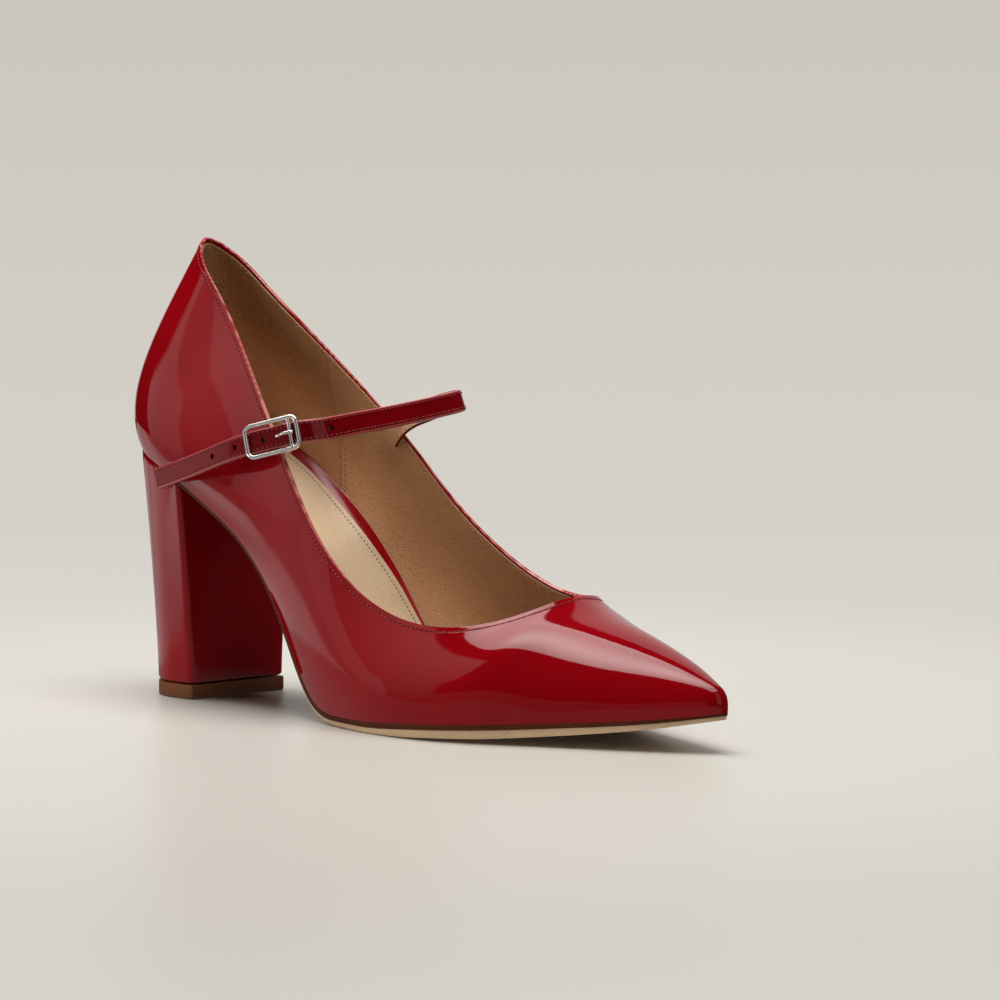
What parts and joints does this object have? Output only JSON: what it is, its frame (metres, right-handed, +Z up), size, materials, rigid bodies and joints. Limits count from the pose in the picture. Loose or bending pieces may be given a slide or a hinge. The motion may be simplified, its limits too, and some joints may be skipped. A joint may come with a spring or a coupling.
{
  "type": "pointed-toe mary jane block-heel pump",
  "caption": "Right women's pointed-toe Mary Jane pump in red patent leather with an instep strap, a small buckle and a covered block heel.",
  "frame": {"origin": "centre of the heel's ground face, on the floor", "axes": "+X from the heel to the toe, +Y to the inner (medial) side of the right shoe, +Z up"},
  "size_m": [0.2299, 0.0797, 0.137],
  "materials": {
    "red_patent": "patent, high gloss",
    "strap_patent": "patent, high gloss",
    "heel_cover": "patent, high gloss, over a rigid block",
    "sock_leather": "matt",
    "dark_edge": "satin edge paint",
    "light_leather": "matt natural",
    "lift_rubber": "matt",
    "silver_metal": "polished"
  },
  "bodies": {
    "root": {"upper": "red_patent", "insole": "sock_leather", "sole": "dark_edge", "forepart_sole": "light_leather", "heel_block": "heel_cover", "top_lift": "lift_rubber", "strap": "strap_patent", "buckle_frame": "silver_metal", "buckle_prong": "silver_metal", "buckle_tab": "strap_patent"}
  },
  "joints": []
}
